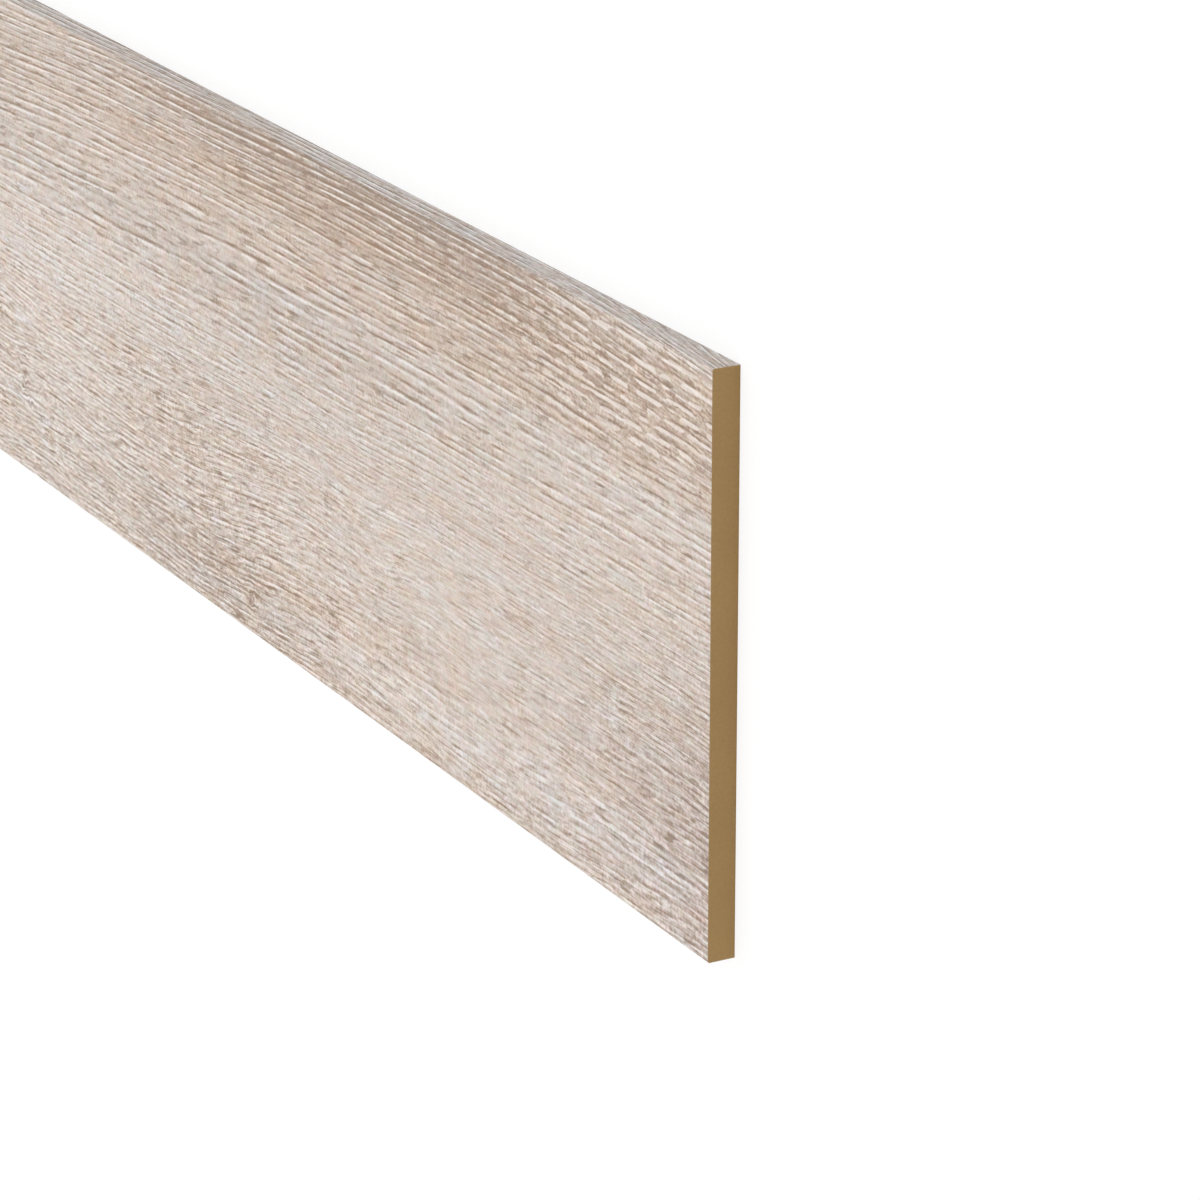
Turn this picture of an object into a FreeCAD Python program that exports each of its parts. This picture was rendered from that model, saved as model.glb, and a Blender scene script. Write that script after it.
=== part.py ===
"""Stair riser board: a fibreboard core with a wood-decor foil wrapped over its face and both long edges.

The board lies on its back with the decor side up. X runs along the board, Y up the riser towards
the tread above it, and Z out of the decor face. The origin is on the floor, under the board's middle.
All sizes are in millimetres.
"""

import FreeCAD, Part
import math
import os

# Driving dimensions
BOARD_LENGTH = 1300.0  # stock length, sawn to the width of the stair on site
RISER_HEIGHT = 200.0  # across the decor face, foil included
BOARD_THICKNESS = 10.0  # from the back to the decor face, foil included
FOIL_THICKNESS = 0.4  # decor laminate on the face and on both long edges
CORE_ARRIS_RADIUS = 0.4  # eased front arrises of the core, which the foil bends round

# The core lies inside the foil, and the foil's bend keeps its thickness round the core's arris.
CORE_HEIGHT = RISER_HEIGHT - 2 * FOIL_THICKNESS
CORE_THICKNESS = BOARD_THICKNESS - FOIL_THICKNESS
FOIL_BEND_RADIUS = CORE_ARRIS_RADIUS + FOIL_THICKNESS


def section_point(y, z):
    """A point of the board's section, in the plane of its left end."""
    return FreeCAD.Vector(-BOARD_LENGTH / 2, y, z)


def line(start, end):
    """A straight edge of the section."""
    return Part.LineSegment(start, end).toShape()


def arris(side, height, thickness, radius):
    """The rounded front arris at the upper (side 1) or lower (side -1) long edge, from edge to face."""
    centre_y = side * (height / 2 - radius)
    centre_z = thickness - radius
    middle = radius * math.sqrt(0.5)
    on_edge = section_point(centre_y + side * radius, centre_z)
    on_bend = section_point(centre_y + side * middle, centre_z + middle)
    on_face = section_point(centre_y, centre_z + radius)
    return Part.Arc(on_edge, on_bend, on_face).toShape(), on_edge, on_face


def outline(height, thickness, radius):
    """The section's edges from the back, over the decor face and down to the back, with its two ends."""
    lower_back = section_point(-height / 2, 0)
    upper_back = section_point(height / 2, 0)
    lower_arc, lower_edge, lower_face = arris(-1, height, thickness, radius)
    upper_arc, upper_edge, upper_face = arris(1, height, thickness, radius)
    edges = [
        line(lower_back, lower_edge),
        lower_arc,
        line(lower_face, upper_face),
        upper_arc,
        line(upper_edge, upper_back),
    ]
    return edges, lower_back, upper_back


def sawn_to_length(edges):
    """The solid that a closed section makes along the board."""
    section = Part.Face(Part.Wire(Part.__sortEdges__(edges)))
    return section.extrude(FreeCAD.Vector(BOARD_LENGTH, 0, 0))


def fibreboard_core():
    """The sawn core: square at the back, with eased front arrises."""
    edges, lower_back, upper_back = outline(CORE_HEIGHT, CORE_THICKNESS, CORE_ARRIS_RADIUS)
    return sawn_to_length(edges + [line(upper_back, lower_back)])


def decor_foil():
    """The decor laminate: one channel-shaped skin from back arris to back arris, seated on the core."""
    outside, outer_lower, outer_upper = outline(RISER_HEIGHT, BOARD_THICKNESS, FOIL_BEND_RADIUS)
    inside, inner_lower, inner_upper = outline(CORE_HEIGHT, CORE_THICKNESS, CORE_ARRIS_RADIUS)
    cut_lips = [line(outer_lower, inner_lower), line(inner_upper, outer_upper)]
    return sawn_to_length(outside + inside + cut_lips)


def main():
    """Writes each piece of the board to its own file."""
    os.makedirs("parts", exist_ok=True)
    pieces = {"fibreboard_core": fibreboard_core(), "decor_foil": decor_foil()}
    for name, solid in pieces.items():
        solid.exportStep(f"parts/{name}.step")
        size = solid.BoundBox
        print(f"{name}: {size.XLength:.2f} x {size.YLength:.2f} x {size.ZLength:.2f} mm,", end=" ")
        print(f"{solid.Volume / 1000:.2f} cm3, valid {solid.isValid()}")


main()
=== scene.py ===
"""Dresses the stair riser board: a limed-oak decor foil wrapped round a bare fibreboard core.

The board lies on its back with the decor side up. X runs along it, Y up the riser and Z out of the
decor face, in metres. The decor's own drawing is kept in millimetres, along from the right end and
across from the lower front arris, unrolled over both long edges.
"""

import math

import bpy
from bpy.props import FloatProperty, FloatVectorProperty, IntProperty, PointerProperty
from mathutils import Matrix, Vector


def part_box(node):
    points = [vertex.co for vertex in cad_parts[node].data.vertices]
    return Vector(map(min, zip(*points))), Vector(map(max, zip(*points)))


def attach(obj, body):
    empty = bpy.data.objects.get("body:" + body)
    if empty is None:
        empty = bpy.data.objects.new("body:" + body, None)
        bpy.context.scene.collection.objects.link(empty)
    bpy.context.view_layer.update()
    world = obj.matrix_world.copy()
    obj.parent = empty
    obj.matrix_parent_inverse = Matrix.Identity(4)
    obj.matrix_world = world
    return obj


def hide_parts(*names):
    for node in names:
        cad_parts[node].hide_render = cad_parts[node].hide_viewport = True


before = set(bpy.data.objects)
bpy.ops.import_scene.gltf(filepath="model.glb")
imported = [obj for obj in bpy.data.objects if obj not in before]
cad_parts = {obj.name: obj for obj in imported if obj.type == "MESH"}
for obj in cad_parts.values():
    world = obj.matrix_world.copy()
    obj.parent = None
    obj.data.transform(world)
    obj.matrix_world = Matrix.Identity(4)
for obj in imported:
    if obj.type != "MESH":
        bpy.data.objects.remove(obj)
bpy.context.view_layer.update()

bl_info = {
    "name": "Stair Riser Board",
    "version": (1, 0, 0),
    "blender": (4, 5, 0),
    "location": "3D View > Sidebar > Riser Board",
    "description": "Wraps the riser board in its decor foil, finishes its core and sets it on a pale floor",
    "category": "Object",
}

FOIL_NODE = "decor_foil"
CORE_NODE = "fibreboard_core"
BODY = "root"

# The board's sizes, from the frame
FOIL_LOW, FOIL_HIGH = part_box(FOIL_NODE)
CORE_LOW, CORE_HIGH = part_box(CORE_NODE)
LENGTH = FOIL_HIGH.x - FOIL_LOW.x
HEIGHT = FOIL_HIGH.y - FOIL_LOW.y
THICKNESS = FOIL_HIGH.z - FOIL_LOW.z
FOIL_THICKNESS = FOIL_HIGH.z - CORE_HIGH.z
MM = 0.001


def srgb(red, green, blue):
    """A colour given in screen levels, as the linear values that the shaders use."""
    def linear(level):
        share = level / 255
        return share / 12.92 if share <= 0.04045 else ((share + 0.055) / 1.055) ** 2.4
    return linear(red), linear(green), linear(blue)


# Soft patches of the print: along and across the board, reach both ways (mm), tone and warmth
PRINT_PATCHES = {
    "brown band under the upper arris": (-260, 200, 240, 36, -0.28, 0.0),
    "darkest stretch of that band": (-140, 200, 40, 25, -0.06, 0.0),
    "pale curls at the left of the arris": (-570, 199, 60, 4, 0.09, 0.0),
    "dark streak under the arris": (-345, 194, 85, 3.5, -0.13, 0.0),
    "dark streak that meets the arris": (-200, 199, 85, 3.5, -0.12, 0.0),
    "pale streak below both": (-350, 190, 70, 2.5, 0.07, 0.0),
    "limed corner at the upper right": (-85, 199, 35, 4, 0.13, 0.0),
    "limed patch below that corner": (-25, 190, 35, 4, 0.09, 0.0),
    "warm band below the arris": (-230, 175, 360, 19, 0.0, 0.06),
    "tan at the upper right": (50, 170, 200, 24, -0.14, 0.03),
    "brown at the upper left": (-640, 175, 100, 30, -0.10, 0.0),
    "lilac band in the upper half": (-460, 140, 300, 10, 0.0, -0.05),
    "tan streak at mid height": (-280, 130, 180, 12, -0.08, 0.0),
    "pale band at the left": (-530, 100, 120, 25, 0.08, 0.0),
    "pale band at the right": (-100, 125, 130, 30, 0.04, 0.0),
    "lilac band at mid height": (-320, 105, 330, 14, 0.0, -0.02),
    "tan below the pale band": (-455, 80, 80, 20, -0.09, 0.0),
    "warm ground at the left": (-500, 76, 80, 8, 0.0, 0.04),
    "pale pool at the left": (-515, 60, 60, 15, 0.11, -0.03),
    "pale eye by the left knots": (-572, 68, 8, 4, 0.10, -0.03),
    "pale patch under the left knots": (-561, 26, 6, 4, 0.08, -0.05),
    "pale swirl at the lower right": (-33, 18, 14, 4, 0.10, -0.03),
    "pale pool right of the middle": (-220, 45, 60, 28, 0.13, 0.0),
    "tan heart of that pool": (-225, 45, 50, 16, -0.15, 0.0),
    "warm ground under the middle": (-310, 30, 130, 20, 0.0, 0.025),
    "brown round the lower knot": (-380, 15, 85, 23, -0.16, 0.0),
    "pale streak in the lower right": (-85, 32, 55, 9, 0.06, 0.0),
    "grey brown at the lower right end": (15, 40, 80, 45, -0.17, 0.0),
    "pinkish ground round it": (-20, 30, 115, 42, 0.0, -0.035),
    "brown band past the middle": (-860, 40, 150, 14, -0.14, 0.01),
    "pale band past the middle": (-980, 130, 190, 18, 0.09, -0.02),
    "brown band at the left end": (-1230, 172, 160, 26, -0.18, 0.0),
}

# Painted shade and painted cool light on the plain stretches over the long edges: a darker, cooler tone
# that stands in for the dimmer, cooler light that falls on them
EDGE_PAINTED_SHADE = -0.075
EDGE_PAINTED_COOL_LIGHT = -0.07

# Knots: along and across the board, and how far the grain bends round them (mm)
KNOTS = (
    (-582, 46, 2.5),
    (-577, 39, 3.5),
    (-571, 31, 2.5),
    (-351, 14, 3.2),
    (-934, 122, 4.0),
)

# How the grain parts round a knot and curls close to it
KNOT_REACH = 1.6
KNOT_PARTING = 0.35
KNOT_SOFTNESS = 2.0
KNOT_CURL = 0.4
KNOT_CURL_SIZE = 3.5

# A printed knot: its size in shares of the bend, its fraying, and place, reach and tone of heart and rim
KNOT_SIZE = (0.35, 0.7)
KNOT_FRAY = 0.8
KNOT_HEART = (0.0, 0.6)
KNOT_HEART_TONE = 0.20
KNOT_RIM = (1.2, 0.4)
KNOT_RIM_TONE = -0.28

# The pale eye that the lines part round: along and across the board, reach both ways, and parting (mm)
EYE = (-594, 64)
EYE_REACH = (24, 18)
EYE_PARTING = 3.5
EYE_SOFTNESS = 30.0

# The grain's tilt, its arch under the upper arris (middle and reach, rise), and its fall at the right (mm)
GRAIN_TILT = 0.012
ARCH = (-325, 420)
ARCH_RISE = 13.8
FALL_REACH = 120
FALL_DROP = 7.0

# Where these and the waves set in across the board, from none to full (mm)
ARCH_ZONE = (105, 170)
FALL_ZONE = (140, 185)
STEEP_FALL_ZONE = (196, 208)
WAVE_ZONE = (115, 60)

# Short climbs of the grain: start and end along the board, height on it, reach and rise (mm)
CLIMBS = (
    (-425, -290, 58, 42, 8.0),
    (-255, -195, 70, 36, 4.0),
)

# Waves of the grain: length, width, swing, and what the lower half adds to the swing (mm)
WAVES = (
    (190, 55, 0.8, 2.2),
    (46, 17, 0.1, 0.6),
    (15, 7, 0.05, 0.14),
)

# Brushed furrows: pitch of the fine and the wide ones (mm), and their drift in pitches and its size (mm)
FURROW_PITCH = 2.8
WIDE_PITCH = 4.0
FURROW_DRIFT = 0.5
DRIFT_SIZE = (110, 11)

# Below a height on the board the furrows lie closer together (mm, and furrows added per mm)
CLOSE_BELOW = 100
CLOSE_GAIN = 0.14

# How far a furrow runs, what the upper half adds, and where it breaks more often (mm)
FURROW_RUN = 32
UPPER_RUN_GAIN = 36
LONG_RUN_ZONE = (60, 140)
BREAKS_FROM = -200
BREAKS_GAIN = 0.02
ROW_SHIFT = 7.31

# A furrow's section and depth
LINE_SHARPNESS = 6.0
LIP_PHASE = 0.31
DEPTH_LEVELS = (-0.45, 0.35)
DEPTH_GAIN = 0.9
LEAST_DEPTH = 0.25

# Layers of streaks along the grain: length and width (mm), detail and roughness of their noise
STREAK_LAYERS = {
    "rings": (420, 13, 1, 0.5),
    "long lines": (130, 1.9, 0, 0.5),
    "short lines": (11, 1.4, 0, 0.5),
    "mid lines": (32, 1.6, 0, 0.5),
    "pores": (14, 1.15, 1, 0.5),
    "lime": (14, 1.4, 1, 0.5),
    "grit": (1.6, 1.3, 1, 0.5),
    "blush": (22, 8, 4, 0.8),
    "flecks": (5, 1.5, 1, 0.5),
    "mottle": (14, 5, 1, 0.5),
    "clusters": (30, 5, 1, 0.5),
    "pink streaks": (7, 3.5, 2, 0.8),
    "breaks": (9, 3.5, 0, 0.5),
    "flush": (9, 2.2, 0, 0.5),
    "pink clouds": (70, 18, 0, 0.5),
}

# Layers drawn as lines with pale rims, and layers that show only where their noise passes two levels
LINE_LAYERS = ("long lines", "short lines", "mid lines")
LAYER_LEVELS = {
    "pores": (0.32, 0.46),
    "lime": (0.26, 0.46),
    "clusters": (-0.45, 0.45),
    "breaks": (-0.15, 0.10),
    "flush": (0.30, 0.50),
}

# How far apart the layers lie in their noise, and where a line's rim lies beside it
LAYER_SHIFT = (13.7, 5.3)
RIM_SHIFT = (0.1, 0.8)

# Tone of each kind of mark: everywhere, and what the lower half adds
MARK_TONE = {
    "rings": (0.05, 0.0),
    "mottle": (0.05, 0.04),
    "long lines": (0.06, 0.0),
    "mid lines": (0.08, 0.05),
    "short lines": (0.08, 0.05),
    "ribs": (0.34, -0.02),
    "flecks": (0.15, 0.04),
    "grit": (0.19, 0.0),
    "lime": (0.07, 0.0),
    "pores": (-0.23, -0.05),
}

# What straight grain, the frosted band and the face add to those tones
STRAIGHT_SHORT_LINES = -0.05
STRAIGHT_RIBS = 0.06
FROST_RIBS = 0.20
FACE_RIBS = -0.10

# Parts of the print across the board: from none to full, or middle and reach of a soft band (mm)
LOWER_ARRIS = (-1.5, 0.0)
UPPER_ARRIS = (201.5, 200.0)
LOWER_HALF = (110, 60)
STRAIGHT_ZONE = (105, 145)
MIDDLE_BAND = (105, 32)
FROST_BAND = (195, 8)

# Spots that are drawn in their own way: middle along and across, and reach both ways (mm)
BOLD_SPOT = ((-40, 182), (110, 32))
CALM_SPOT = ((-160, 52), (120, 52))
PINK_SPOT = ((-10, 30), (90, 40))

# The bold dashes: share on the long edge, how far they follow the grain, fullness, and tones
BOLD_EDGE_SHARE = 0.4
BOLD_FOLLOWS_GRAIN = 0.4
BOLD_FULLNESS = 5.0
BOLD_RIB_CUT = 0.5
BOLD_LIME_TONE = 0.20
BOLD_BROWN_TONE = -0.30

# How clearly the marks show, and what weakens them
LEAST_CONTRAST = 0.90
CLUSTER_CONTRAST = 0.40
CALM_CUT = 0.50
MIDDLE_CUT = 0.15
PALE_CUT = 0.5
SPECKLE_CUT = 0.4

# The print's mean place on its ramp, and how far lime covers the bold dashes and the frosted lips
GROUND_TONE = 0.606
BOLD_LIME_COVER = 0.55
FROST_COVER = 0.5

# How far the layers turn the print warm or pink, and what a turn does to its colours
WARM_LAYERS = {"blush": 0.045, "flush": 0.04, "rings": -0.035, "mottle": -0.035}
RIB_WARMTH = -0.03
PINK_LAYERS = {"pink streaks": 0.04, "pink clouds": 0.008, "flush": 0.01}
SPOT_PINKNESS = 0.016
WARM_TURN = 0.6
PINK_TURN = 0.5

# The lacquer: its gloss, what pores and lime do to its roughness, and its tooth along and across (mm)
LACQUER_SPECULAR = 0.12
PORE_ROUGHNESS = 0.12
LIME_ROUGHNESS = -0.05
TOOTH_SIZE = (7, 0.8)
TOOTH_STRENGTH = 0.35

# Flecks and clouds per metre of the core and of the paper, and their gloss
CORE_FIBRES = (900, 45)
PAPER_FIBRES = (1500, 80)
FIBRE_SPECULAR = 0.2

# Bands of the foil's texture map, from bottom to top
SKIN_BAND = 0.90
BACK_START = 0.91
BACK_HEIGHT = 0.03
END_BAND = (0.95, 0.96)
LOWER_LIP_BAND = (0.97, 0.975)
UPPER_LIP_BAND = (0.985, 0.99)

# The cut ends lie side by side in their band.
RIGHT_END_START = 0.5
END_WIDTH = 0.48

# Faces that meet at more than this angle keep a sharp edge.
SHARP_ANGLE = math.radians(40)

# How much of the floor is plain white to the camera, and how bright
FLOOR_WHITE_SHARE = 0.72
FLOOR_WHITE = 1.06

# The camera's sensor (mm) and range (m), and what is upright in the picture
SENSOR_WIDTH = 36.0
CAMERA_RANGE = (0.01, 200.0)
RISER_UPRIGHT = Vector((0.0, 1.0, 0.0))


class Signal:
    """A number carried by a node socket. Arithmetic on it adds Math nodes to the socket's tree."""

    def __init__(self, socket):
        self.socket = socket
        self.tree = socket.id_data

    def _math(self, operation, *values):
        node = add_node(self.tree, "ShaderNodeMath", operation=operation)
        for socket, value in zip(node.inputs, values):
            plug(self.tree, socket, value)
        return Signal(node.outputs[0])

    def __add__(self, other):
        return self._math("ADD", self, other)

    def __sub__(self, other):
        return self._math("SUBTRACT", self, other)

    def __rsub__(self, other):
        return self._math("SUBTRACT", other, self)

    def __mul__(self, other):
        return self._math("MULTIPLY", self, other)

    def __truediv__(self, other):
        return self._math("DIVIDE", self, other)

    __radd__ = __add__

    def power(self, exponent):
        return self._math("POWER", self, exponent)

    def sign(self):
        return self._math("SIGN", self)

    def sqrt(self):
        return self._math("SQRT", self)

    def fract(self):
        return self._math("FRACT", self)

    def cosine(self):
        return self._math("COSINE", self)

    def lesser(self, other):
        return self._math("MINIMUM", self, other)

    def greater(self, other):
        return self._math("MAXIMUM", self, other)

    def times_plus(self, gain, rest):
        """The value times a gain, plus the rest, in one node."""
        return self._math("MULTIPLY_ADD", self, gain, rest)

    def soft_sign(self, softness):
        """From -1 through 0 to 1, with most of the turn within the root of the softness."""
        return self / self.times_plus(self, softness).sqrt()

    def fade(self):
        """The fall of a bell: 1 at 0, and e to the minus value beyond."""
        return self._math("POWER", 1 / math.e, self)

    def clamped(self):
        """The value kept between 0 and 1."""
        result = self + 0.0
        result.socket.node.use_clamp = True
        return result

    def step(self, low, high):
        """A smooth rise from 0 at low to 1 at high."""
        inputs = {"Value": self, "From Min": low, "From Max": high}
        node = add_node(self.tree, "ShaderNodeMapRange", inputs, interpolation_type="SMOOTHSTEP")
        return Signal(node.outputs["Result"])

    def bell(self, middle, reach):
        """A soft hump of height 1 at the middle that fades out past its reach."""
        off = self.times_plus(1 / reach, -middle / reach)
        return (off * off).fade()


def plug(tree, socket, value):
    """Links a signal or socket to an input, or sets a constant on it."""
    if isinstance(value, Signal):
        value = value.socket
    if isinstance(value, bpy.types.NodeSocket):
        tree.links.new(value, socket)
    else:
        socket.default_value = value


def add_node(tree, kind, inputs=None, **settings):
    """Adds a node with its settings, then its inputs by name."""
    node = tree.nodes.new(kind)
    for name, value in settings.items():
        setattr(node, name, value)
    for name, value in (inputs or {}).items():
        plug(tree, node.inputs[name], value)
    return node


def new_group(name, kind, inputs, outputs):
    """An empty node group with named numbers going in and out, and the signals that come in."""
    tree = bpy.data.node_groups.new(name, kind)
    for socket_name, default in inputs.items():
        socket = tree.interface.new_socket(socket_name, in_out="INPUT", socket_type="NodeSocketFloat")
        socket.default_value = default
    for socket_name in outputs:
        tree.interface.new_socket(socket_name, in_out="OUTPUT", socket_type="NodeSocketFloat")
    entry = tree.nodes.new("NodeGroupInput")
    leave = tree.nodes.new("NodeGroupOutput")
    return tree, {socket.name: Signal(socket) for socket in entry.outputs if socket.name}, leave


def use_group(tree, group, inputs):
    """Places a node group in a tree, and returns the signals that its outputs carry."""
    kind = "ShaderNodeGroup" if tree.bl_idname == "ShaderNodeTree" else "GeometryNodeGroup"
    node = add_node(tree, kind, inputs, node_tree=group)
    return {socket.name: Signal(socket) for socket in node.outputs}


def vector_of(tree, x, y, z=0.0):
    """A vector from signals or numbers."""
    return add_node(tree, "ShaderNodeCombineXYZ", {"X": x, "Y": y, "Z": z}).outputs["Vector"]


def vector_math(tree, operation, *values):
    """The result of a vector operation: a number for a length or a dot product, else a vector."""
    node = add_node(tree, "ShaderNodeVectorMath", operation=operation)
    for socket, value in zip(node.inputs, values):
        plug(tree, socket, value)
    if operation in ("LENGTH", "DOT_PRODUCT"):
        return Signal(node.outputs["Value"])
    return node.outputs["Vector"]


def offset_from(tree, place, middle, reach):
    """How far a place is from a middle, along and across, in shares of the reach."""
    scale = (1 / reach[0], 1 / reach[1], 0.0)
    shift = (-middle[0] / reach[0], -middle[1] / reach[1], 0.0)
    return vector_math(tree, "MULTIPLY_ADD", place, scale, shift)


def soft_spot(tree, place, middle, reach):
    """A soft hump of height 1 at the middle that fades out past its reach along and across."""
    off = offset_from(tree, place, middle, reach)
    return vector_math(tree, "DOT_PRODUCT", off, off).fade()


def noise_at(tree, vector, detail=0.0, roughness=0.5):
    """Signed two-dimensional noise with features about one unit across."""
    inputs = {"Vector": vector, "Scale": 1.0, "Detail": detail, "Roughness": roughness}
    node = add_node(tree, "ShaderNodeTexNoise", inputs, noise_dimensions="2D", normalize=False)
    return Signal(node.outputs[0])


def board_coordinates(tree):
    """Millimetres along the board from its right end, and across it, unrolled, from its lower arris."""
    if tree.bl_idname == "ShaderNodeTree":
        place = add_node(tree, "ShaderNodeTexCoord").outputs["Object"]
    else:
        place = add_node(tree, "GeometryNodeInputPosition").outputs["Position"]
    axes = add_node(tree, "ShaderNodeSeparateXYZ", {"Vector": place}).outputs
    x, y, z = (Signal(axis) for axis in axes)
    along = (x - FOIL_HIGH.x) * (1 / MM)
    over_the_edge = (FOIL_HIGH.z - z) * (1 / MM)
    across = (y - FOIL_LOW.y) * (1 / MM) + y.sign() * over_the_edge
    return along, across


def grain_flow_group(kind):
    """Bends the across coordinate so that lines of equal value run as the grain does."""
    tree, given, leave = new_group("Grain Flow", kind, {"Along": 0.0, "Across": 0.0}, ["Grain"])
    along, across = given["Along"], given["Across"]

    # The grain climbs to a long level stretch under the upper arris and falls away to the right.
    arch = along.bell(*ARCH) * across.step(*ARCH_ZONE) * ARCH_RISE
    near_end = ((along + FALL_REACH) / FALL_REACH).clamped()
    steepness = across.step(*FALL_ZONE) + across.step(*STEEP_FALL_ZONE)
    rise = along * GRAIN_TILT + arch - near_end.power(2.0) * steepness * FALL_DROP
    for start, end, height, reach, climb in CLIMBS:
        rise = rise + along.step(start, end) * across.bell(height, reach) * climb
    lower = across.step(*WAVE_ZONE)
    for length, width, swing, lower_swing in WAVES:
        wave = noise_at(tree, vector_of(tree, along / length, across / width))
        rise = rise + wave * (lower * lower_swing + swing)
    grain = across - rise

    # The lines part round each knot and curl close to it, and they part round the eye.
    curl = noise_at(tree, vector_of(tree, along / KNOT_CURL_SIZE, across / KNOT_CURL_SIZE)) * KNOT_CURL
    place = vector_of(tree, along, across)
    for knot_along, knot_across, bend in KNOTS:
        reach = bend * KNOT_REACH
        near = soft_spot(tree, place, (knot_along, knot_across), (reach, reach)) * -bend
        side = (across - knot_across).soft_sign(KNOT_SOFTNESS)
        grain = near.times_plus(side.times_plus(KNOT_PARTING, curl), grain)
    side = (across - EYE[1]).soft_sign(EYE_SOFTNESS)
    grain = (soft_spot(tree, place, EYE, EYE_REACH) * -EYE_PARTING).times_plus(side, grain)

    plug(tree, leave.inputs["Grain"], grain)
    return tree


def streaks_group(kind):
    """Signed noise drawn out along the grain: soft streaks, and crisper lines with their own pale rims."""
    inputs = {"Along": 0.0, "Grain": 0.0, "Length": 20.0, "Width": 1.0}
    inputs.update({"Detail": 0.0, "Roughness": 0.5, "Shift": 0.0})
    tree, given, leave = new_group("Streaks", kind, inputs, ["Streaks", "Lines"])
    along = given["Along"] / given["Length"] + given["Shift"] * LAYER_SHIFT[0]
    across = given["Grain"] / given["Width"] + given["Shift"] * LAYER_SHIFT[1]
    detail, roughness = given["Detail"], given["Roughness"]
    here = noise_at(tree, vector_of(tree, along, across), detail, roughness)
    beside = noise_at(tree, vector_of(tree, along + RIM_SHIFT[0], across + RIM_SHIFT[1]), detail, roughness)
    plug(tree, leave.inputs["Streaks"], here)
    plug(tree, leave.inputs["Lines"], here - beside)
    return tree


def streak_layers(tree, along, grain):
    """The print's layers of streaks by name. Each has its own shift, so that no two share their noise."""
    group = streaks_group("ShaderNodeTree")
    layers = {}
    for number, (name, sizes) in enumerate(STREAK_LAYERS.items(), 1):
        inputs = dict(zip(("Length", "Width", "Detail", "Roughness"), sizes))
        inputs.update({"Along": along, "Grain": grain, "Shift": number})
        layer = use_group(tree, group, inputs)["Lines" if name in LINE_LAYERS else "Streaks"]
        layers[name] = layer.step(*LAYER_LEVELS[name]) if name in LAYER_LEVELS else layer
    return layers


def furrows_group(kind):
    """Brushed furrows, closer together in the lower half, with a pale lip under each; they come and go."""
    inputs = {"Along": 0.0, "Grain": 0.0, "Pitch": FURROW_PITCH}
    tree, given, leave = new_group("Furrows", kind, inputs, ["Furrows", "Lips", "Depth"])
    along, grain, pitch = given["Along"], given["Grain"], given["Pitch"]
    drift = noise_at(tree, vector_of(tree, along / DRIFT_SIZE[0], grain / DRIFT_SIZE[1]))
    place = grain / pitch + (grain - CLOSE_BELOW).lesser(0.0) * CLOSE_GAIN + drift * FURROW_DRIFT
    number = place - place.fract()
    length = (number * pitch).step(*LONG_RUN_ZONE) * UPPER_RUN_GAIN + FURROW_RUN
    run = along / length + (along - BREAKS_FROM).greater(0.0) * BREAKS_GAIN
    depth = noise_at(tree, vector_of(tree, run, number * ROW_SHIFT), detail=2.0, roughness=0.7)

    def line(phase):
        """Narrow lines, one for each furrow, at a place between one furrow and the next."""
        swing = (place + phase) * math.tau
        return ((1.0 - swing.cosine()) * 0.5).power(LINE_SHARPNESS)

    plug(tree, leave.inputs["Furrows"], line(0.0))
    plug(tree, leave.inputs["Lips"], line(LIP_PHASE))
    plug(tree, leave.inputs["Depth"], depth.step(*DEPTH_LEVELS) * DEPTH_GAIN + LEAST_DEPTH)
    return tree


def colour_ramp(tree, position, stops):
    """A ramp through colours at given places between 0 and 1."""
    node = add_node(tree, "ShaderNodeValToRGB", {"Fac": position})
    elements = node.color_ramp.elements
    while len(elements) < len(stops):
        elements.new(1.0)
    for element, (place, colour) in zip(elements, stops):
        element.position = place
        element.color = (*colour, 1.0)
    return node.outputs["Color"]


def mixed_colour(tree, factor, first, second):
    """The first colour at factor 0 and the second at 1; each is a socket or three numbers."""
    node = add_node(tree, "ShaderNodeMix", {"Factor": factor}, data_type="RGBA")
    sockets = {socket.identifier: socket for socket in node.inputs}
    for identifier, colour in (("A_Color", first), ("B_Color", second)):
        if not isinstance(colour, bpy.types.NodeSocket):
            colour = (*colour, 1.0)
        plug(tree, sockets[identifier], colour)
    return next(socket for socket in node.outputs if socket.identifier == "Result_Color")


def tinted(tree, colour, warmth, pinkness):
    """The colour turned from blue to red by its warmth, and from green to pink by its pinkness."""
    red = 1.0 + warmth * WARM_TURN + pinkness * PINK_TURN
    blue = 1.0 - warmth * WARM_TURN + pinkness * PINK_TURN
    gains = vector_of(tree, red, 1.0 - pinkness * PINK_TURN, blue)
    return vector_math(tree, "MULTIPLY", colour, gains)


def seen_rays(tree):
    """1 for the rays that show a backdrop: those of the camera, of reflections and through glass."""
    path = tree.nodes.new("ShaderNodeLightPath").outputs
    return Signal(path["Is Camera Ray"]).greater(path["Is Glossy Ray"]).greater(path["Is Transmission Ray"])


def new_material(name, specular):
    """A material with only a shader of a given gloss, its node tree and that shader."""
    material = bpy.data.materials.new(name)
    material.use_nodes = True
    tree = material.node_tree
    tree.nodes.clear()
    shader = add_node(tree, "ShaderNodeBsdfPrincipled", {"Specular IOR Level": specular})
    output = tree.nodes.new("ShaderNodeOutputMaterial")
    tree.links.new(shader.outputs["BSDF"], output.inputs["Surface"])
    return material, tree, shader


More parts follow.
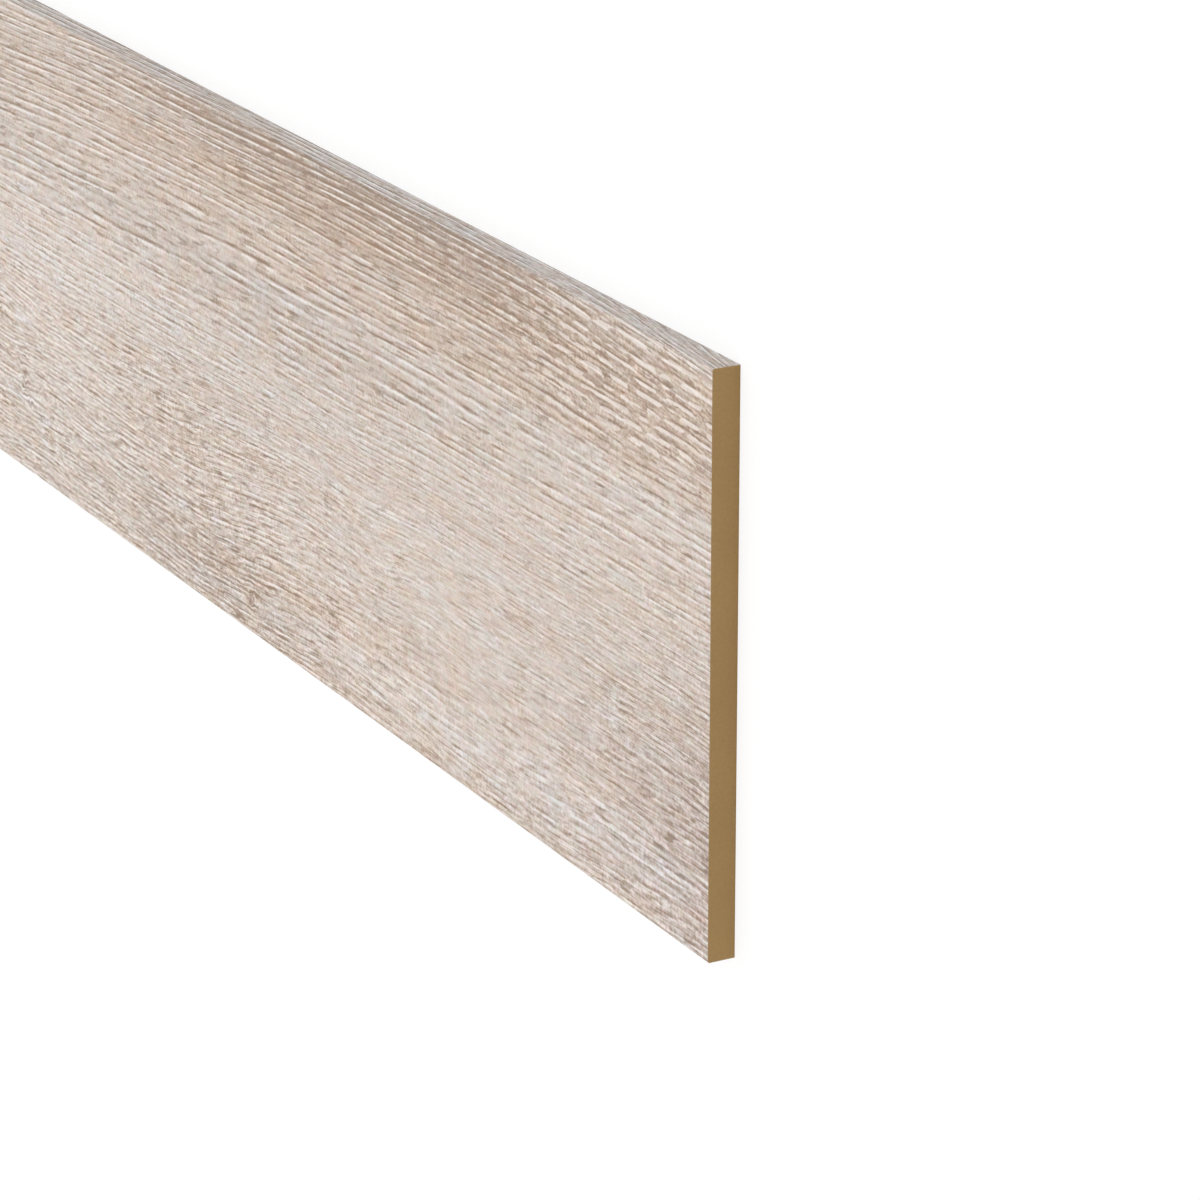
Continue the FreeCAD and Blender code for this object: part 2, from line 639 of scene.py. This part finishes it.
class DecorPlan:
    """What the print is drawn with: its coordinates, its layers of streaks and the parts of the board."""

    def __init__(self, tree):
        self.tree = tree
        self.along, self.across = board_coordinates(tree)
        self.place = vector_of(tree, self.along, self.across)
        flow = grain_flow_group("ShaderNodeTree")
        self.grain = use_group(tree, flow, {"Along": self.along, "Across": self.across})["Grain"]
        self.layers = streak_layers(tree, self.along, self.grain)

        # Parts of the board, from 0 outside to 1 inside
        self.face = self.across.step(*LOWER_ARRIS) * self.across.step(*UPPER_ARRIS)
        self.lower = self.across.step(*LOWER_HALF)
        self.bold = self.spot(*BOLD_SPOT) * (self.face * (1.0 - BOLD_EDGE_SHARE) + BOLD_EDGE_SHARE)
        self.straight = self.across.step(*STRAIGHT_ZONE) * (1.0 - self.bold)
        self.frost = self.across.bell(*FROST_BAND) * self.face * self.layers["breaks"]

    def spot(self, middle, reach):
        """A soft spot on the board."""
        return soft_spot(self.tree, self.place, middle, reach)

    def tone(self, name):
        """The tone of a kind of mark, which may differ in the lower half."""
        everywhere, lower_gain = MARK_TONE[name]
        return self.lower * lower_gain + everywhere if lower_gain else everywhere

    def marks(self, *names):
        """The sum of some layers, each at its own tone."""
        total = 0.0
        for name in names:
            total = self.layers[name].times_plus(self.tone(name), total)
        return total


def print_zones(plan):
    """The tone and warmth of the soft patches, and the painted shade and painted cool light of the plain
    stretches over the long edges.
    """
    tone = 0.0
    warmth = 0.0
    for along, across, along_reach, across_reach, patch_tone, patch_warmth in PRINT_PATCHES.values():
        spot = plan.spot((along, across), (along_reach, across_reach))
        if patch_tone:
            tone = spot.times_plus(patch_tone, tone)
        if patch_warmth:
            warmth = spot.times_plus(patch_warmth, warmth)
    # The long edges get painted shade and painted cool light: darker and cooler than the face.
    edges = 1.0 - plan.face
    return tone * plan.face + edges * EDGE_PAINTED_SHADE, warmth * plan.face + edges * EDGE_PAINTED_COOL_LIGHT


def print_ribs(plan, furrow_lines):
    """The brushed furrows with their pale lips, and the lips that lime frosts along the upper arris."""
    furrows = use_group(plan.tree, furrow_lines, {"Along": plan.along, "Grain": plan.grain})
    ribs = (furrows["Lips"] - furrows["Furrows"]) * furrows["Depth"] * (1.0 - plan.bold * BOLD_RIB_CUT)
    return ribs, furrows["Lips"] * furrows["Depth"] * plan.frost


def print_bold_dashes(plan, furrow_lines):
    """Wide, broken dashes at the upper right: lime on the furrows' lips, and brown in the furrows."""
    level = plan.across * (1.0 - BOLD_FOLLOWS_GRAIN) + plan.grain * BOLD_FOLLOWS_GRAIN
    wide = use_group(plan.tree, furrow_lines, {"Along": plan.along, "Grain": level, "Pitch": WIDE_PITCH})
    breaks = plan.layers["breaks"]
    lime = (breaks * wide["Lips"] * BOLD_FULLNESS).clamped() * plan.bold
    return lime, breaks * plan.bold * wide["Furrows"]


def print_lines(plan, ribs):
    """Lines of three lengths along the grain, and the brushed ribs."""
    lines = plan.marks("long lines", "mid lines", "short lines")
    lines = lines + plan.layers["short lines"] * plan.straight * STRAIGHT_SHORT_LINES
    rib_tone = plan.tone("ribs") + plan.straight * STRAIGHT_RIBS + plan.frost * FROST_RIBS
    return lines + ribs * (rib_tone + plan.face * FACE_RIBS)


def print_contrast(plan, zone_tone):
    """How clearly marks show: more in clusters, less in the calm spot, at mid height and in pale zones."""
    clusters = plan.layers["clusters"] * CLUSTER_CONTRAST + LEAST_CONTRAST
    calm = 1.0 - plan.spot(*CALM_SPOT) * CALM_CUT
    middle = 1.0 - plan.across.bell(*MIDDLE_BAND) * MIDDLE_CUT
    return clusters * calm * middle * (1.0 - zone_tone * PALE_CUT)


def print_knots(plan):
    """Small knots with a pale heart and a dark, frayed rim."""
    nearest = None
    for along, across, bend in KNOTS:
        size = [bend * share for share in KNOT_SIZE]
        off = vector_math(plan.tree, "LENGTH", offset_from(plan.tree, plan.place, (along, across), size))
        nearest = nearest.lesser(off) if nearest else off
    nearest = plan.layers["flecks"].times_plus(KNOT_FRAY, nearest)
    return nearest.bell(*KNOT_HEART) * KNOT_HEART_TONE + nearest.bell(*KNOT_RIM) * KNOT_RIM_TONE


def print_hue(plan, zone_warmth, ribs):
    """How far the print turns warm and how far pink, in soft clouds and in short streaks."""
    warmth = zone_warmth + ribs * RIB_WARMTH
    for name, gain in WARM_LAYERS.items():
        warmth = plan.layers[name].times_plus(gain, warmth)
    pinkness = plan.spot(*PINK_SPOT) * SPOT_PINKNESS
    for name, gain in PINK_LAYERS.items():
        pinkness = plan.layers[name].times_plus(gain, pinkness)
    return warmth, pinkness


def lacquer(plan, shader, settings):
    """The lacquer's sheen, duller in the pores, and its tooth, which is too fine for the mesh."""
    tree = plan.tree
    roughness = plan.layers["pores"] * PORE_ROUGHNESS + plan.layers["lime"] * LIME_ROUGHNESS
    plug(tree, shader.inputs["Roughness"], roughness + settings.foil_roughness)
    length, width = TOOTH_SIZE
    tooth = noise_at(tree, vector_of(tree, plan.along / length, plan.across / width), detail=1.0)
    bump = add_node(tree, "ShaderNodeBump", {"Strength": TOOTH_STRENGTH, "Distance": settings.tooth_depth})
    plug(tree, bump.inputs["Height"], tooth)
    tree.links.new(bump.outputs["Normal"], shader.inputs["Normal"])


def decor_print(settings):
    """The printed foil: limed oak with brown pores, lime streaks and soft brown and pale zones."""
    material, tree, shader = new_material("limed_oak_print", LACQUER_SPECULAR)
    plan = DecorPlan(tree)
    furrow_lines = furrows_group("ShaderNodeTree")
    zone_tone, zone_warmth = print_zones(plan)
    ribs, frosted = print_ribs(plan, furrow_lines)
    bold_lime, bold_brown = print_bold_dashes(plan, furrow_lines)

    lines = print_lines(plan, ribs)
    speckle = plan.marks("flecks", "grit") * (1.0 - plan.straight * SPECKLE_CUT)
    dashes = plan.marks("lime", "pores") + bold_lime * BOLD_LIME_TONE + bold_brown * BOLD_BROWN_TONE
    fine = (lines + speckle + dashes) * print_contrast(plan, zone_tone)
    tone = zone_tone + plan.marks("rings", "mottle") + fine + print_knots(plan)

    stops = (
        (0.00, settings.pore_colour),
        (0.30, settings.shade_colour),
        (0.60, settings.ground_colour),
        (1.00, settings.lime_colour),
    )
    colour = colour_ramp(tree, tone + GROUND_TONE, stops)
    colour = tinted(tree, colour, *print_hue(plan, zone_warmth, ribs))
    cover = bold_lime * BOLD_LIME_COVER + frosted * FROST_COVER
    colour = mixed_colour(tree, cover, colour, settings.lime_colour)
    tree.links.new(colour, shader.inputs["Base Color"])
    lacquer(plan, shader, settings)
    return material


def pressed_fibres(tree, flecks_per_metre, clouds_per_metre):
    """Flecks of pressed fibre, and the soft clouds that they gather in; both are about 0.5 on average."""
    place = add_node(tree, "ShaderNodeTexCoord").outputs["Object"]

    def noise(scale):
        inputs = {"Vector": place, "Scale": scale, "Detail": 3.0}
        return Signal(add_node(tree, "ShaderNodeTexNoise", inputs).outputs[0])

    return noise(flecks_per_metre), noise(clouds_per_metre)


def shaded(colour, gain):
    """A colour made darker by a gain below 1, or lighter by one above."""
    return tuple(level * gain for level in colour)


def cut_paper(settings):
    """The foil's cut edges, where its brown paper shows."""
    material, tree, shader = new_material("foil_cut_paper", FIBRE_SPECULAR)
    flecks, clouds = pressed_fibres(tree, *PAPER_FIBRES)
    stops = ((0.25, shaded(settings.paper_colour, 0.82)), (0.75, settings.paper_colour))
    colour = colour_ramp(tree, flecks * 0.8 + clouds * 0.2, stops)
    tree.links.new(colour, shader.inputs["Base Color"])
    shader.inputs["Roughness"].default_value = 0.85
    return material


def bare_fibreboard(settings):
    """Sawn and sanded fibreboard: pressed fibres that gather in soft clouds."""
    material, tree, shader = new_material("bare_fibreboard", FIBRE_SPECULAR)
    flecks, clouds = pressed_fibres(tree, *CORE_FIBRES)
    tone = (flecks - 0.5) * 0.5 + (clouds - 0.5) * 0.3 + 0.5
    stops = ((0.25, shaded(settings.fibre_colour, 0.86)), (0.75, shaded(settings.fibre_colour, 1.14)))
    tree.links.new(colour_ramp(tree, tone, stops), shader.inputs["Base Color"])
    plug(tree, shader.inputs["Roughness"], flecks * 0.2 + 0.7)
    bump = add_node(tree, "ShaderNodeBump", {"Strength": 0.2, "Distance": 0.0001, "Height": flecks})
    tree.links.new(bump.outputs["Normal"], shader.inputs["Normal"])
    return material


def section_of_foil(settings):
    """The foil's section as matching outer and inner points, with how deeply each is embossed."""
    radius = settings.arris_radius
    half = HEIGHT / 2
    edge = THICKNESS - radius
    face = HEIGHT - 2 * radius
    arris_steps = settings.arris_steps

    outer = []
    inner = []
    weights = []

    def corner(side, turn):
        """A point of a rounded arris, outside and inside, at a turn from the long edge to the face."""
        centre = (side * (half - radius), edge)
        for points, reach in ((outer, radius), (inner, radius - FOIL_THICKNESS)):
            y = centre[0] + side * reach * math.cos(turn)
            z = centre[1] + reach * math.sin(turn)
            points.append((y, z))
        weights.append(0.0)

    def straight(count, start, end, inset):
        """Points of a flat stretch, without its ends."""
        for i in range(1, count):
            share = i / count
            y = start[0] + (end[0] - start[0]) * share
            z = start[1] + (end[1] - start[1]) * share
            outer.append((y, z))
            inner.append((y + inset[0], z + inset[1]))
            weights.append(1.0)

    def lip(side):
        """The end of the section at the back, above (side 1) or below (side -1)."""
        outer.append((side * half, 0.0))
        inner.append((side * (half - FOIL_THICKNESS), 0.0))
        weights.append(0.0)

    lip(-1)
    straight(settings.edge_steps, (-half, 0.0), (-half, edge), (FOIL_THICKNESS, 0.0))
    for i in range(arris_steps + 1):
        corner(-1, math.pi / 2 * i / arris_steps)
    face_ends = (-face / 2, THICKNESS), (face / 2, THICKNESS)
    straight(settings.face_steps, *face_ends, (0.0, -FOIL_THICKNESS))
    for i in range(arris_steps, -1, -1):
        corner(1, math.pi / 2 * i / arris_steps)
    straight(settings.edge_steps, (half, edge), (half, 0.0), (-FOIL_THICKNESS, 0.0))
    lip(1)
    return outer, inner, weights


def foil_mesh(settings):
    """The foil as one closed skin: a fine outer grid to emboss, and a plain inner side and cut edges."""
    outer, inner, weights = section_of_foil(settings)
    count = len(outer)
    rows = settings.length_steps + 1
    stations = [FOIL_LOW.x + LENGTH * i / settings.length_steps for i in range(rows)]
    points = [(x, y, z) for x in stations for y, z in outer]
    points += [(x, y, z) for x in (stations[0], stations[-1]) for y, z in inner]
    inner_start = rows * count

    def out(row, i):
        return row * count + i

    def back(end, i):
        return inner_start + end * count + i

    printed = [
        (out(row, i), out(row + 1, i), out(row + 1, i + 1), out(row, i + 1))
        for row in range(rows - 1) for i in range(count - 1)
    ]
    cut = []
    last = rows - 1
    for i in range(count - 1):
        cut.append((back(0, i + 1), back(1, i + 1), back(1, i), back(0, i)))
        cut.append((out(0, i), out(0, i + 1), back(0, i + 1), back(0, i)))
        cut.append((out(last, i + 1), out(last, i), back(1, i), back(1, i + 1)))
    lower_lip = [out(row, 0) for row in range(rows)]
    upper_lip = [out(row, count - 1) for row in range(rows)]
    cut.append((*reversed(lower_lip), back(0, 0), back(1, 0)))
    cut.append((*upper_lip, back(1, count - 1), back(0, count - 1)))

    mesh = bpy.data.meshes.new("wrapped_decor_foil")
    mesh.from_pydata(points, [], printed + cut)
    unroll_map(mesh, outer, rows)
    emboss = mesh.attributes.new("emboss", "FLOAT", "POINT")
    emboss.data.foreach_set("value", weights * rows + [0.0] * (2 * count))
    slots = [0] * len(printed) + [1] * len(cut)
    mesh.polygons.foreach_set("material_index", slots)
    mesh.polygons.foreach_set("use_smooth", [True] * len(slots))
    mesh.set_sharp_from_angle(angle=SHARP_ANGLE)
    mesh.update()
    return mesh


def unroll_map(mesh, section, rows):
    """A texture map: the printed skin unrolled over most of it, its hidden side and cut edges above."""
    walk = [0.0]
    for (y, z), (next_y, next_z) in zip(section, section[1:]):
        walk.append(walk[-1] + math.hypot(next_y - y, next_z - z))
    share = [step / walk[-1] for step in walk]
    last = rows - 1
    top = len(share) - 1
    places = []
    for row in range(last):
        left, right = row / last, (row + 1) / last
        for i in range(top):
            low, high = share[i] * SKIN_BAND, share[i + 1] * SKIN_BAND
            places += [(left, low), (right, low), (right, high), (left, high)]

    foot, head = END_BAND
    for i in range(top):
        low, high = share[i], share[i + 1]
        back_low, back_high = (BACK_START + BACK_HEIGHT * value for value in (low, high))
        places += [(0.0, back_high), (1.0, back_high), (1.0, back_low), (0.0, back_low)]
        for start, turn in ((0.0, (low, high)), (RIGHT_END_START, (high, low))):
            first, second = (start + END_WIDTH * value for value in turn)
            places += [(first, foot), (second, foot), (second, head), (first, head)]

    along = [row / last for row in range(rows)]
    places += [(u, LOWER_LIP_BAND[0]) for u in reversed(along)]
    places += [(0.0, LOWER_LIP_BAND[1]), (1.0, LOWER_LIP_BAND[1])]
    places += [(u, UPPER_LIP_BAND[0]) for u in along]
    places += [(1.0, UPPER_LIP_BAND[1]), (0.0, UPPER_LIP_BAND[1])]
    layer = mesh.uv_layers.new(name="OFBake")
    layer.data.foreach_set("uv", [value for place in places for value in place])


def emboss_nodes(depth):
    """Geometry nodes that sink the brushed furrows into the foil along the printed grain."""
    tree = bpy.data.node_groups.new("Emboss Grain", "GeometryNodeTree")
    tree.is_modifier = True
    tree.interface.new_socket("Geometry", in_out="INPUT", socket_type="NodeSocketGeometry")
    tree.interface.new_socket("Geometry", in_out="OUTPUT", socket_type="NodeSocketGeometry")
    entry = tree.nodes.new("NodeGroupInput")
    leave = tree.nodes.new("NodeGroupOutput")
    along, across = board_coordinates(tree)
    flow = grain_flow_group("GeometryNodeTree")
    grain = use_group(tree, flow, {"Along": along, "Across": across})["Grain"]
    furrows = use_group(tree, furrows_group("GeometryNodeTree"), {"Along": along, "Grain": grain})
    furrow = furrows["Furrows"] * furrows["Depth"]
    weight = add_node(tree, "GeometryNodeInputNamedAttribute", {"Name": "emboss"}, data_type="FLOAT")
    sink = furrow * Signal(weight.outputs["Attribute"]) * -depth
    normal = add_node(tree, "GeometryNodeInputNormal").outputs["Normal"]
    offset = add_node(tree, "ShaderNodeVectorMath", {"Scale": sink}, operation="SCALE")
    tree.links.new(normal, offset.inputs[0])
    inputs = {"Geometry": entry.outputs["Geometry"], "Offset": offset.outputs["Vector"]}
    move = add_node(tree, "GeometryNodeSetPosition", inputs)
    tree.links.new(move.outputs["Geometry"], leave.inputs["Geometry"])
    return tree


# What the settings for colours and for sizes share
COLOUR = {"subtype": "COLOR", "min": 0.0}
SIZE = {"subtype": "DISTANCE", "unit": "LENGTH"}


class RiserFoilSettings(bpy.types.PropertyGroup):
    """Sizes and colours of the decor foil."""

    arris_radius: FloatProperty(
        name="Arris Radius", description="Outer bend of the foil at both front arrises",
        default=0.0008, min=0.0005, **SIZE,
    )
    emboss_depth: FloatProperty(
        name="Emboss Depth", description="How deep the brushed furrows are pressed into the foil",
        default=0.00006, min=0.0, **SIZE,
    )
    tooth_depth: FloatProperty(
        name="Tooth Depth", description="Depth of the lacquer's fine tooth, between the furrows",
        default=0.00004, min=0.0, **SIZE,
    )
    length_steps: IntProperty(
        name="Length Steps", description="Grid cells along the board", default=190, min=2,
    )
    face_steps: IntProperty(
        name="Face Steps", description="Grid cells across the face", default=396, min=2,
    )
    edge_steps: IntProperty(
        name="Edge Steps", description="Grid cells across a long edge", default=18, min=2,
    )
    arris_steps: IntProperty(
        name="Arris Steps", description="Facets of a rounded arris", default=5, min=2,
    )
    pore_colour: FloatVectorProperty(
        name="Pore Brown", description="The darkest pores of the print",
        default=srgb(155, 136, 121), **COLOUR, max=1.0,
    )
    shade_colour: FloatVectorProperty(
        name="Shade Brown", description="Brown streaks and zones of the print",
        default=srgb(182, 166, 153), **COLOUR, max=1.0,
    )
    ground_colour: FloatVectorProperty(
        name="Ground Beige", description="The ground of the print",
        default=srgb(213, 200, 189), **COLOUR, max=1.0,
    )
    lime_colour: FloatVectorProperty(
        name="Lime White", description="The whitest lime streaks of the print",
        default=srgb(243, 235, 228), **COLOUR, max=1.0,
    )
    paper_colour: FloatVectorProperty(
        name="Kraft Paper", description="The foil's brown paper at its cut edges",
        default=srgb(172, 142, 97), **COLOUR, max=1.0,
    )
    foil_roughness: FloatProperty(
        name="Foil Roughness", description="Roughness of the print's matt lacquer",
        default=0.6, min=0.0, max=1.0, subtype="FACTOR",
    )


class RiserCoreSettings(bpy.types.PropertyGroup):
    """Colours of the fibreboard core."""

    fibre_colour: FloatVectorProperty(
        name="Fibre Tan", description="The pressed fibres of the bare board",
        default=srgb(162, 131, 85), **COLOUR, max=1.0,
    )


class RiserStageSettings(bpy.types.PropertyGroup):
    """Camera, floor and light."""

    camera_place: FloatVectorProperty(
        name="Camera Place", description="Where the camera stands",
        default=(1.9194, 0.5489, 0.7346), subtype="TRANSLATION", unit="LENGTH",
    )
    camera_aim: FloatVectorProperty(
        name="Camera Aim", description="The point of the decor face at the middle of the picture",
        default=(0.5770, 0.0013, 0.0100), subtype="TRANSLATION", unit="LENGTH",
    )
    lens: FloatProperty(
        name="Lens", description="Focal length in millimetres on a 36 mm sensor", default=148.58, min=1.0,
    )
    floor_size: FloatProperty(
        name="Floor Size", description="Side of the square floor", default=60.0, min=1.0, **SIZE,
    )
    floor_colour: FloatVectorProperty(
        name="Floor Colour", description="The pale floor",
        default=(0.93, 0.93, 0.93), **COLOUR, max=1.0,
    )
    zenith_colour: FloatVectorProperty(
        name="Zenith Light", description="Soft light from straight above",
        default=(1.23, 1.205, 1.185), **COLOUR, soft_max=2.0,
    )
    horizon_colour: FloatVectorProperty(
        name="Horizon Light", description="Weaker and cooler light from the sides",
        default=(0.53, 0.56, 0.61), **COLOUR, soft_max=2.0,
    )


class RISER_OT_wrap_foil(bpy.types.Operator):
    """Replaces the plain foil with an embossed, printed one"""

    bl_idname = "riser.wrap_foil"
    bl_label = "Wrap Decor Foil"

    def execute(self, context):
        settings = context.scene.riser_foil
        piece = bpy.data.objects.new("wrapped_decor_foil", foil_mesh(settings))
        context.scene.collection.objects.link(piece)
        piece.data.materials.append(decor_print(settings))
        piece.data.materials.append(cut_paper(settings))
        modifier = piece.modifiers.new("Emboss Grain", "NODES")
        modifier.node_group = emboss_nodes(settings.emboss_depth)
        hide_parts(FOIL_NODE)
        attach(piece, BODY)
        return {"FINISHED"}


class RISER_OT_finish_core(bpy.types.Operator):
    """Gives the bare core its pressed and sawn fibres"""

    bl_idname = "riser.finish_core"
    bl_label = "Finish Fibreboard Core"

    def execute(self, context):
        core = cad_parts[CORE_NODE]
        core.data.materials.clear()
        core.data.materials.append(bare_fibreboard(context.scene.riser_core))
        return {"FINISHED"}


class RISER_OT_set_stage(bpy.types.Operator):
    """Sets the pale floor, the soft light and the camera"""

    bl_idname = "riser.set_stage"
    bl_label = "Set Stage"

    def execute(self, context):
        settings = context.scene.riser_stage
        context.scene.view_settings.view_transform = "Standard"
        self.lay_floor(context, settings)
        self.light_world(context, settings)
        self.place_camera(context, settings)
        return {"FINISHED"}

    def lay_floor(self, context, settings):
        """The floor, left open under the board so that the bare back can be looked at from below."""
        half = settings.floor_size / 2
        rim = FOIL_THICKNESS / 2
        low_x, low_y = FOIL_LOW.x + rim, FOIL_LOW.y + rim
        high_x, high_y = FOIL_HIGH.x - rim, FOIL_HIGH.y - rim
        outside = [(-half, -half), (half, -half), (half, half), (-half, half)]
        opening = [(low_x, low_y), (high_x, low_y), (high_x, high_y), (low_x, high_y)]
        corners = [(x, y, 0.0) for x, y in outside + opening]
        strips = [(i, (i + 1) % 4, (i + 1) % 4 + 4, i + 4) for i in range(4)]
        mesh = bpy.data.meshes.new("pale_floor")
        mesh.from_pydata(corners, [], strips)
        floor = bpy.data.objects.new("pale_floor", mesh)
        context.scene.collection.objects.link(floor)
        mesh.materials.append(self.floor_material(settings))

    def floor_material(self, settings):
        """A pale matt floor that the camera sees as white where no shadow falls."""
        material, tree, shader = new_material("pale_floor", 0.0)
        shader.inputs["Base Color"].default_value = (*settings.floor_colour, 1.0)
        shader.inputs["Roughness"].default_value = 1.0
        white = add_node(tree, "ShaderNodeEmission", {"Strength": FLOOR_WHITE})
        mix = add_node(tree, "ShaderNodeMixShader", {"Fac": seen_rays(tree) * FLOOR_WHITE_SHARE})
        tree.links.new(shader.outputs["BSDF"], mix.inputs[1])
        tree.links.new(white.outputs["Emission"], mix.inputs[2])
        output = tree.get_output_node("ALL")
        tree.links.new(mix.outputs["Shader"], output.inputs["Surface"])
        material.cycles.emission_sampling = "NONE"
        return material

    def light_world(self, context, settings):
        """Soft light that is strongest overhead, behind a white backdrop."""
        world = bpy.data.worlds.new("soft_studio")
        world.use_nodes = True
        tree = world.node_tree
        tree.nodes.clear()
        direction = add_node(tree, "ShaderNodeTexCoord").outputs["Generated"]
        rise = Signal(add_node(tree, "ShaderNodeSeparateXYZ", {"Vector": direction}).outputs["Z"])
        light = mixed_colour(tree, rise, settings.horizon_colour, settings.zenith_colour)
        lit = add_node(tree, "ShaderNodeBackground", {"Color": light})
        white = add_node(tree, "ShaderNodeBackground", {"Color": (1.0, 1.0, 1.0, 1.0)})
        mix = add_node(tree, "ShaderNodeMixShader", {"Fac": seen_rays(tree)})
        tree.links.new(lit.outputs["Background"], mix.inputs[1])
        tree.links.new(white.outputs["Background"], mix.inputs[2])
        output = tree.nodes.new("ShaderNodeOutputWorld")
        tree.links.new(mix.outputs["Shader"], output.inputs["Surface"])
        context.scene.world = world

    def place_camera(self, context, settings):
        """The camera looks down on the board, with the riser's upright as the picture's upright."""
        camera = bpy.data.cameras.new("camera")
        camera.lens = settings.lens
        camera.sensor_width = SENSOR_WIDTH
        camera.clip_start, camera.clip_end = CAMERA_RANGE
        piece = bpy.data.objects.new("camera", camera)
        context.scene.collection.objects.link(piece)
        place = Vector(settings.camera_place)
        back = (place - Vector(settings.camera_aim)).normalized()
        right = RISER_UPRIGHT.cross(back).normalized()
        up = back.cross(right)
        turn = Matrix((right, up, back)).transposed().to_4x4()
        piece.matrix_world = Matrix.Translation(place) @ turn
        context.scene.camera = piece


class RISER_PT_board(bpy.types.Panel):
    """Lists the steps that dress the board, with their settings"""

    bl_idname = "RISER_PT_board"
    bl_label = "Stair Riser Board"
    bl_space_type = "VIEW_3D"
    bl_region_type = "UI"
    bl_category = "Riser Board"

    def draw(self, context):
        layout = self.layout
        scene = context.scene
        for operator, settings in (
            (RISER_OT_wrap_foil, scene.riser_foil),
            (RISER_OT_finish_core, scene.riser_core),
            (RISER_OT_set_stage, scene.riser_stage),
        ):
            box = layout.box()
            box.operator(operator.bl_idname)
            for name in type(settings).__annotations__:
                box.prop(settings, name)


CLASSES = (
    RiserFoilSettings,
    RiserCoreSettings,
    RiserStageSettings,
    RISER_OT_wrap_foil,
    RISER_OT_finish_core,
    RISER_OT_set_stage,
    RISER_PT_board,
)


def register():
    for cls in CLASSES:
        bpy.utils.register_class(cls)
    bpy.types.Scene.riser_foil = PointerProperty(type=RiserFoilSettings)
    bpy.types.Scene.riser_core = PointerProperty(type=RiserCoreSettings)
    bpy.types.Scene.riser_stage = PointerProperty(type=RiserStageSettings)


def unregister():
    del bpy.types.Scene.riser_stage
    del bpy.types.Scene.riser_core
    del bpy.types.Scene.riser_foil
    for cls in reversed(CLASSES):
        bpy.utils.unregister_class(cls)


def main():
    """Dresses the board step by step."""
    register()
    bpy.ops.riser.wrap_foil()
    bpy.ops.riser.finish_core()
    bpy.ops.riser.set_stage()


if __name__ == "__main__":
    main()
